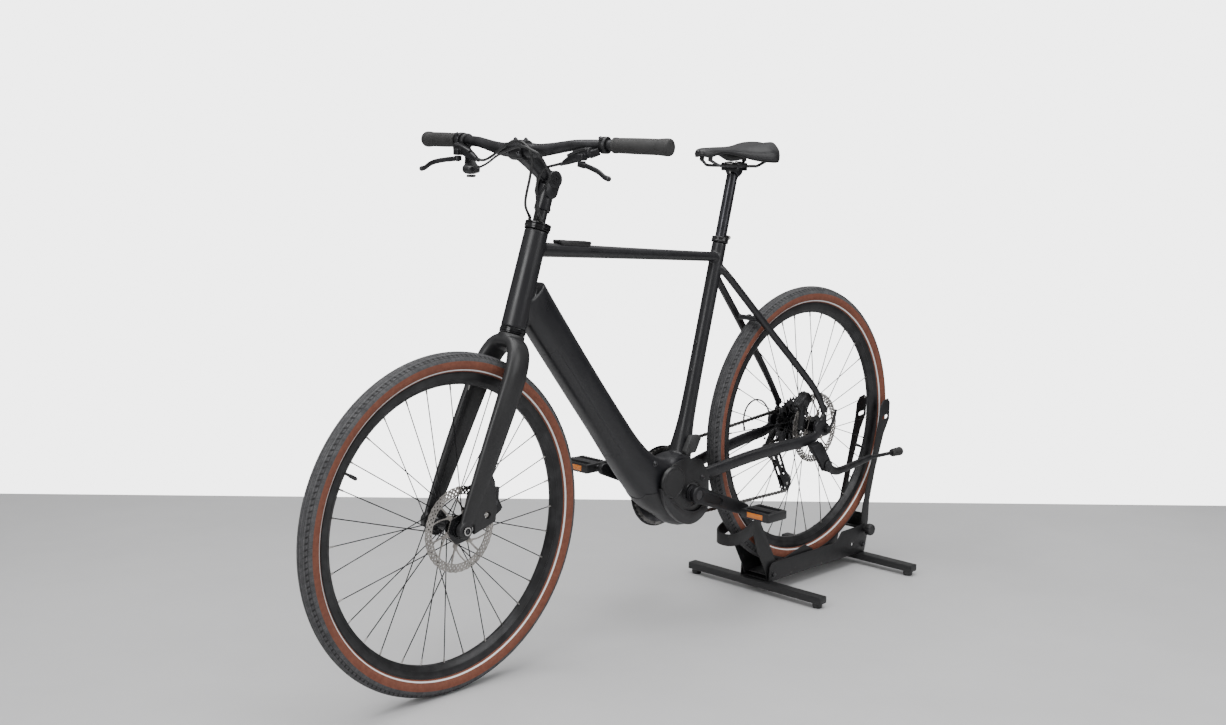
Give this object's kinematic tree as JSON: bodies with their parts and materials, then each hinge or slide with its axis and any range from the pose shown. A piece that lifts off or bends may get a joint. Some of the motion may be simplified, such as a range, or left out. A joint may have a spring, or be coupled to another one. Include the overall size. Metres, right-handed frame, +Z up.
{
  "type": "bicycle on stand",
  "caption": "Black city e-bike with disc brakes, a chain drive and a mid motor, its rear wheel held upright in a folding floor stand.",
  "frame": {"origin": "on the floor, in the middle of the object's length and width", "axes": "+Z up; the bicycle faces -X; its left side faces -Y"},
  "size_m": [1.8914, 0.7478, 1.148],
  "materials": {
    "frame_paint": "satin black paint",
    "stand_paint": "black powder coat",
    "black_alloy": "black anodised",
    "gloss_black": "gloss black",
    "black_plastic": "moulded black",
    "black_rubber": "matte black",
    "tyre_rubber": "dark grey tread, brown side walls",
    "steel": "ground steel",
    "dark_steel": "dark oiled steel",
    "saddle_vinyl": "grained black cover"
  },
  "bodies": {
    "stand": {"stand_front_bar": "stand_paint", "stand_rear_bar": "stand_paint", "stand_base": "stand_paint", "stand_cradle": "stand_paint"},
    "stand_yoke": {"stand_yoke": "stand_paint"},
    "stand_knob": {"stand_knob": "black_plastic"},
    "bicycle": {"frame": "frame_paint", "battery_cover": "frame_paint", "battery_pack": "black_plastic", "drive_unit": "black_alloy", "drive_cover": "black_plastic", "charge_port_cover": "black_rubber", "display_controller": "black_plastic", "seat_clamp": "black_alloy", "rear_axle": "black_alloy", "rear_caliper": "black_alloy", "kickstand_bracket": "black_alloy", "headset_upper": "gloss_black", "headset_lower": "gloss_black", "chain": "dark_steel", "derailleur": "black_alloy", "derailleur_cage": "black_alloy", "rear_shift_cable": "black_rubber"},
    "steering": {"fork": "frame_paint", "stem_base": "frame_paint", "front_axle": "dark_steel", "front_caliper": "black_alloy", "left_brake_hose": "black_rubber", "right_brake_hose": "black_rubber", "shift_cable": "black_rubber"},
    "bar": {"stem_arm": "black_alloy", "handlebar": "black_alloy", "left_grip": "black_rubber", "right_grip": "black_rubber", "left_brake_body": "black_alloy", "right_brake_body": "black_alloy", "shifter": "black_plastic"},
    "left_lever": {"left_brake_lever": "black_alloy"},
    "right_lever": {"right_brake_lever": "black_alloy"},
    "thumb_lever": {"shift_thumb_lever": "black_plastic"},
    "front_wheel": {"front_tyre": "tyre_rubber", "front_rim": "black_alloy", "front_hub": "black_alloy", "front_rotor": "steel"},
    "rear_wheel": {"rear_tyre": "tyre_rubber", "rear_rim": "black_alloy", "rear_hub": "black_alloy", "rear_rotor": "steel"},
    "cassette": {"cassette": "dark_steel"},
    "cranks": {"chainring": "dark_steel", "left_crank": "black_alloy", "right_crank": "black_alloy"},
    "left_pedal": {"left_pedal": "black_plastic"},
    "right_pedal": {"right_pedal": "black_plastic"},
    "guide_pulley": {"guide_pulley": "black_plastic"},
    "tension_pulley": {"tension_pulley": "black_plastic"},
    "seatpost": {"seatpost": "black_alloy"},
    "saddle": {"saddle_rails": "dark_steel", "saddle": "saddle_vinyl"},
    "kickstand": {"kickstand_leg": "black_alloy"}
  },
  "joints": [
    {"name": "lift_out_of_stand", "type": "slide", "parent": "stand", "child": "bicycle", "axis": [0, 0, 1], "range_m": [0, 0.3]},
    {"name": "yoke_fold", "type": "hinge", "parent": "stand", "child": "stand_yoke", "pos_m": [0.8183, 0, 0.0935], "axis": [0, 1, 0], "range_deg": [0, 65]},
    {"name": "knob_turn", "type": "hinge", "parent": "stand", "child": "stand_knob", "pos_m": [0.8183, 0, 0.0935], "axis": [0, 1, 0], "continuous": true},
    {"name": "steering_turn", "type": "hinge", "parent": "bicycle", "child": "steering", "pos_m": [-0.3373, 0, 0.9481], "axis": [0.3132, 0, 0.9497], "range_deg": [-60, 60]},
    {"name": "stem_angle", "type": "hinge", "parent": "steering", "child": "bar", "pos_m": [-0.3024, 0, 1.054], "axis": [0, 1, 0], "range_deg": [-20, 25], "deforming": ["left_brake_hose", "right_brake_hose", "shift_cable"]},
    {"name": "left_brake_squeeze", "type": "hinge", "parent": "bar", "child": "left_lever", "pos_m": [-0.3917, -0.19, 1.094], "axis": [0, 0, 1], "range_deg": [0, 22], "stiffness_Nm_per_rad": 1, "springref_deg": -17.19},
    {"name": "right_brake_squeeze", "type": "hinge", "parent": "bar", "child": "right_lever", "pos_m": [-0.3917, 0.19, 1.094], "axis": [0, 0, -1], "range_deg": [0, 22], "stiffness_Nm_per_rad": 1, "springref_deg": -17.19},
    {"name": "thumb_shift", "type": "hinge", "parent": "bar", "child": "thumb_lever", "pos_m": [-0.3917, 0.15, 1.058], "axis": [0, 0, 1], "range_deg": [0, 30], "stiffness_Nm_per_rad": 0.2, "springref_deg": -17.19},
    {"name": "front_wheel_spin", "type": "hinge", "parent": "steering", "child": "front_wheel", "pos_m": [-0.5877, 0, 0.358], "axis": [0, 1, 0], "continuous": true},
    {"name": "rear_wheel_spin", "type": "hinge", "parent": "bicycle", "child": "rear_wheel", "pos_m": [0.5877, 0, 0.4028], "axis": [0, 1, 0], "continuous": true},
    {"name": "crank_spin", "type": "hinge", "parent": "bicycle", "child": "cranks", "pos_m": [0.1073, 0, 0.3145], "axis": [0, 1, 0], "continuous": true},
    {"name": "cassette_spin", "type": "hinge", "parent": "bicycle", "child": "cassette", "pos_m": [0.5877, 0, 0.4028], "axis": [0, 1, 0], "continuous": true},
    {"name": "guide_pulley_spin", "type": "hinge", "parent": "bicycle", "child": "guide_pulley", "pos_m": [0.5343, 0.0454, 0.338], "axis": [0, 1, 0], "continuous": true},
    {"name": "tension_pulley_spin", "type": "hinge", "parent": "bicycle", "child": "tension_pulley", "pos_m": [0.5823, 0.0454, 0.243], "axis": [0, 1, 0], "continuous": true},
    {"name": "left_pedal_spin", "type": "hinge", "parent": "cranks", "child": "left_pedal", "pos_m": [0.26601, -0.0885, 0.25358], "axis": [0, 1, 0], "continuous": true},
    {"name": "right_pedal_spin", "type": "hinge", "parent": "cranks", "child": "right_pedal", "pos_m": [-0.05141, 0.0885, 0.37542], "axis": [0, 1, 0], "continuous": true},
    {"name": "seatpost_height", "type": "slide", "parent": "bicycle", "child": "seatpost", "axis": [0.2535, 0, 0.9673], "range_m": [-0.06, 0.06]},
    {"name": "saddle_tilt", "type": "hinge", "parent": "seatpost", "child": "saddle", "pos_m": [0.2983, 0, 1.06], "axis": [0, 1, 0], "range_deg": [-5, 5]},
    {"name": "kickstand_swing", "type": "hinge", "parent": "bicycle", "child": "kickstand", "pos_m": [0.5763, -0.092, 0.312], "axis": [0, 1, 0], "range_deg": [0, 60]}
  ],
  "couplings": [
    {"joint": "cassette_spin", "follows": "crank_spin", "ratio": 2.2},
    {"joint": "tension_pulley_spin", "follows": "crank_spin", "ratio": 4},
    {"joint": "guide_pulley_spin", "follows": "crank_spin", "ratio": -4}
  ]
}
